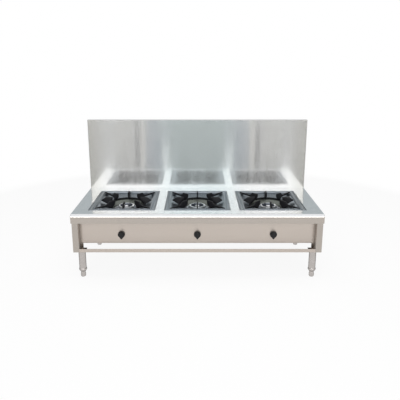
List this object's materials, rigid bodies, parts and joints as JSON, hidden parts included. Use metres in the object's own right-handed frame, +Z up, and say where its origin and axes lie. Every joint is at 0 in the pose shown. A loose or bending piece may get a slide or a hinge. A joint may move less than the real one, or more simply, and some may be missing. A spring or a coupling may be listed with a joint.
{
  "type": "triple stockpot stove",
  "caption": "Low wide gas stockpot stove: a row of square-framed burners with cast pan supports, push-and-turn knobs, a tall splashback and round legs on screw feet.",
  "frame": {"origin": "on the floor, at the middle of the footprint", "axes": "+Z up, -Y is the front with the knobs, +X is to the right of someone who stands in front"},
  "size_m": [1.8, 0.7, 1.075],
  "materials": {
    "stainless": "brushed stainless sheet",
    "pan": "pressed stainless, brighter than the worktop",
    "rim": "satin stainless frame",
    "galvanised": "galvanised sheet",
    "pipe": "black gas pipe",
    "brass": "turned brass",
    "fastener": "zinc plated",
    "cast_black": "matt black cast iron",
    "cast_grey": "bare cast iron",
    "burner_silver": "bright cast aluminium",
    "knob_black": "black heat-proof plastic"
  },
  "bodies": {
    "stove": {"worktop": "stainless", "splashback": "stainless", "side_panel_left": "stainless", "side_panel_right": "stainless", "control_panel": "stainless", "lower_rail_front": "stainless", "lower_rail_rear": "stainless", "rear_panel": "galvanised", "splashback_braces": "galvanised", "support_channels": "galvanised", "burner_straps": "galvanised", "manifold_brackets": "galvanised", "gas_manifold": "pipe", "injectors": "brass", "bolts": "fastener", "burner_body_left": "cast_grey", "tap_body_left": "brass", "burner_body_middle": "cast_grey", "tap_body_middle": "brass", "burner_body_right": "cast_grey", "tap_body_right": "brass", "leg_front_left": "stainless", "leg_rear_left": "stainless", "leg_front_right": "stainless", "leg_rear_right": "stainless"},
    "plunger_left": {"tap_plunger_left": "brass"},
    "knob_left": {"tap_stem_left": "fastener", "knob_left": "knob_black"},
    "drip_pan_left": {"drip_pan_left": "pan"},
    "rim_left": {"rim_left": "rim"},
    "grate_left": {"grate_left": "cast_black"},
    "burner_head_left": {"burner_head_left": "burner_silver"},
    "air_shutter_left": {"air_shutter_left": "galvanised"},
    "plunger_middle": {"tap_plunger_middle": "brass"},
    "knob_middle": {"tap_stem_middle": "fastener", "knob_middle": "knob_black"},
    "drip_pan_middle": {"drip_pan_middle": "pan"},
    "rim_middle": {"rim_middle": "rim"},
    "grate_middle": {"grate_middle": "cast_black"},
    "burner_head_middle": {"burner_head_middle": "burner_silver"},
    "air_shutter_middle": {"air_shutter_middle": "galvanised"},
    "plunger_right": {"tap_plunger_right": "brass"},
    "knob_right": {"tap_stem_right": "fastener", "knob_right": "knob_black"},
    "drip_pan_right": {"drip_pan_right": "pan"},
    "rim_right": {"rim_right": "rim"},
    "grate_right": {"grate_right": "cast_black"},
    "burner_head_right": {"burner_head_right": "burner_silver"},
    "air_shutter_right": {"air_shutter_right": "galvanised"},
    "foot_screw_front_left": {"foot_screw_front_left": "fastener"},
    "foot_front_left": {"foot_front_left": "stainless"},
    "foot_screw_rear_left": {"foot_screw_rear_left": "fastener"},
    "foot_rear_left": {"foot_rear_left": "stainless"},
    "foot_screw_front_right": {"foot_screw_front_right": "fastener"},
    "foot_front_right": {"foot_front_right": "stainless"},
    "foot_screw_rear_right": {"foot_screw_rear_right": "fastener"},
    "foot_rear_right": {"foot_rear_right": "stainless"}
  },
  "joints": [
    {"name": "knob_left_push", "type": "slide", "parent": "stove", "child": "plunger_left", "axis": [0, 1, 0], "range_m": [0, 0.004], "stiffness_N_per_m": 800, "springref_m": -0.005},
    {"name": "knob_left_turn", "type": "hinge", "parent": "plunger_left", "child": "knob_left", "pos_m": [-0.55, -0.3, 0.333], "axis": [0, -1, 0], "range_deg": [0, 180]},
    {"name": "drip_pan_left_lift", "type": "slide", "parent": "stove", "child": "drip_pan_left", "axis": [0, 0, 1], "range_m": [0, 0.12]},
    {"name": "rim_left_lift", "type": "slide", "parent": "drip_pan_left", "child": "rim_left", "axis": [0, 0, 1], "range_m": [0, 0.1]},
    {"name": "grate_left_lift", "type": "slide", "parent": "rim_left", "child": "grate_left", "axis": [0, 0, 1], "range_m": [0, 0.15]},
    {"name": "burner_head_left_lift", "type": "slide", "parent": "stove", "child": "burner_head_left", "axis": [0, 0, 1], "range_m": [0, 0.15]},
    {"name": "air_shutter_left_turn", "type": "hinge", "parent": "stove", "child": "air_shutter_left", "pos_m": [-0.55, -0.1763, 0.333], "axis": [0, 1, 0], "range_deg": [0, 60]},
    {"name": "knob_middle_push", "type": "slide", "parent": "stove", "child": "plunger_middle", "axis": [0, 1, 0], "range_m": [0, 0.004], "stiffness_N_per_m": 800, "springref_m": -0.005},
    {"name": "knob_middle_turn", "type": "hinge", "parent": "plunger_middle", "child": "knob_middle", "pos_m": [0, -0.3, 0.333], "axis": [0, -1, 0], "range_deg": [0, 180]},
    {"name": "drip_pan_middle_lift", "type": "slide", "parent": "stove", "child": "drip_pan_middle", "axis": [0, 0, 1], "range_m": [0, 0.12]},
    {"name": "rim_middle_lift", "type": "slide", "parent": "drip_pan_middle", "child": "rim_middle", "axis": [0, 0, 1], "range_m": [0, 0.1]},
    {"name": "grate_middle_lift", "type": "slide", "parent": "rim_middle", "child": "grate_middle", "axis": [0, 0, 1], "range_m": [0, 0.15]},
    {"name": "burner_head_middle_lift", "type": "slide", "parent": "stove", "child": "burner_head_middle", "axis": [0, 0, 1], "range_m": [0, 0.15]},
    {"name": "air_shutter_middle_turn", "type": "hinge", "parent": "stove", "child": "air_shutter_middle", "pos_m": [0, -0.1763, 0.333], "axis": [0, 1, 0], "range_deg": [0, 60]},
    {"name": "knob_right_push", "type": "slide", "parent": "stove", "child": "plunger_right", "axis": [0, 1, 0], "range_m": [0, 0.004], "stiffness_N_per_m": 800, "springref_m": -0.005},
    {"name": "knob_right_turn", "type": "hinge", "parent": "plunger_right", "child": "knob_right", "pos_m": [0.55, -0.3, 0.333], "axis": [0, -1, 0], "range_deg": [0, 180]},
    {"name": "drip_pan_right_lift", "type": "slide", "parent": "stove", "child": "drip_pan_right", "axis": [0, 0, 1], "range_m": [0, 0.12]},
    {"name": "rim_right_lift", "type": "slide", "parent": "drip_pan_right", "child": "rim_right", "axis": [0, 0, 1], "range_m": [0, 0.1]},
    {"name": "grate_right_lift", "type": "slide", "parent": "rim_right", "child": "grate_right", "axis": [0, 0, 1], "range_m": [0, 0.15]},
    {"name": "burner_head_right_lift", "type": "slide", "parent": "stove", "child": "burner_head_right", "axis": [0, 0, 1], "range_m": [0, 0.15]},
    {"name": "air_shutter_right_turn", "type": "hinge", "parent": "stove", "child": "air_shutter_right", "pos_m": [0.55, -0.1763, 0.333], "axis": [0, 1, 0], "range_deg": [0, 60]},
    {"name": "foot_front_left_extend", "type": "slide", "parent": "stove", "child": "foot_screw_front_left", "axis": [0, 0, -1], "range_m": [0, 0.025]},
    {"name": "foot_front_left_turn", "type": "hinge", "parent": "foot_screw_front_left", "child": "foot_front_left", "pos_m": [-0.8445, -0.29, 0.03], "axis": [0, 0, -1], "range_deg": [0, 4520]},
    {"name": "foot_rear_left_extend", "type": "slide", "parent": "stove", "child": "foot_screw_rear_left", "axis": [0, 0, -1], "range_m": [0, 0.025]},
    {"name": "foot_rear_left_turn", "type": "hinge", "parent": "foot_screw_rear_left", "child": "foot_rear_left", "pos_m": [-0.8445, 0.29, 0.03], "axis": [0, 0, -1], "range_deg": [0, 4520]},
    {"name": "foot_front_right_extend", "type": "slide", "parent": "stove", "child": "foot_screw_front_right", "axis": [0, 0, -1], "range_m": [0, 0.025]},
    {"name": "foot_front_right_turn", "type": "hinge", "parent": "foot_screw_front_right", "child": "foot_front_right", "pos_m": [0.8445, -0.29, 0.03], "axis": [0, 0, -1], "range_deg": [0, 4520]},
    {"name": "foot_rear_right_extend", "type": "slide", "parent": "stove", "child": "foot_screw_rear_right", "axis": [0, 0, -1], "range_m": [0, 0.025]},
    {"name": "foot_rear_right_turn", "type": "hinge", "parent": "foot_screw_rear_right", "child": "foot_rear_right", "pos_m": [0.8445, 0.29, 0.03], "axis": [0, 0, -1], "range_deg": [0, 4520]}
  ],
  "couplings": [
    {"joint": "foot_front_left_turn", "follows": "foot_front_left_extend", "rad_per_m": 3141.6},
    {"joint": "foot_rear_left_turn", "follows": "foot_rear_left_extend", "rad_per_m": 3141.6},
    {"joint": "foot_front_right_turn", "follows": "foot_front_right_extend", "rad_per_m": 3141.6},
    {"joint": "foot_rear_right_turn", "follows": "foot_rear_right_extend", "rad_per_m": 3141.6}
  ]
}
